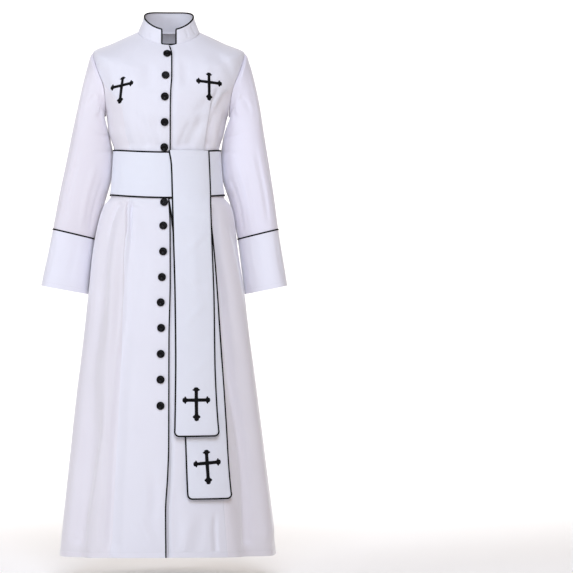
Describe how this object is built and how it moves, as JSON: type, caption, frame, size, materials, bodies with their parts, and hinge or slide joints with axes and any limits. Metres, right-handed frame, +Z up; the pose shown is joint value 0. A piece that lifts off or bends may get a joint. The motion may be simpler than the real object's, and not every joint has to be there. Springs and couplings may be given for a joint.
{
  "type": "cassock",
  "caption": "Ankle-length white cassock, stand collar, long sleeves with deep cuffs, buttoned front, wide waist band with two hanging sash ends, black piping and crosses.",
  "frame": {"origin": "on the centre line between the shoulders, just below where the shoulder seams meet the neck", "axes": "+Z up along the body, -Y out of the front, +X to the wearer's left"},
  "size_m": [0.651, 0.4663, 1.4361],
  "materials": {
    "cloth": "plain-woven polyester suiting, matt",
    "sleeve_cloth": "plain-woven polyester suiting, matt",
    "sash_cloth": "plain-woven polyester suiting, pressed",
    "piping": "bias-covered cord, soft satin",
    "embroidery": "satin stitch, slight sheen",
    "button": "polished, rimmed"
  },
  "bodies": {
    "root": {"front_right": "cloth", "side_front_right": "cloth", "side_back_right": "cloth", "back_right": "cloth", "front_left": "cloth", "side_front_left": "cloth", "side_back_left": "cloth", "back_left": "cloth", "collar": "cloth", "cuff_right": "cloth", "cuff_left": "cloth", "sleeve_right": "sleeve_cloth", "sleeve_left": "sleeve_cloth", "band": "sash_cloth", "tail_front": "sash_cloth", "tail_back": "sash_cloth", "piping_collar": "piping", "piping_front": "piping", "piping_band_top": "piping", "piping_band_bottom": "piping", "piping_tail_front": "piping", "piping_tail_back": "piping", "piping_cuff_right": "piping", "piping_cuff_left": "piping", "cross_chest_right": "embroidery", "cross_chest_left": "embroidery", "cross_tail_front": "embroidery", "cross_tail_back": "embroidery", "button_01": "button", "button_02": "button", "button_03": "button", "button_04": "button", "button_05": "button", "button_06": "button", "button_07": "button", "button_08": "button", "button_09": "button", "button_10": "button", "button_11": "button", "button_12": "button", "button_13": "button", "button_14": "button", "cuff_button_right_1": "button", "cuff_button_right_2": "button", "cuff_button_right_3": "button", "cuff_button_left_1": "button", "cuff_button_left_2": "button", "cuff_button_left_3": "button"}
  },
  "joints": []
}
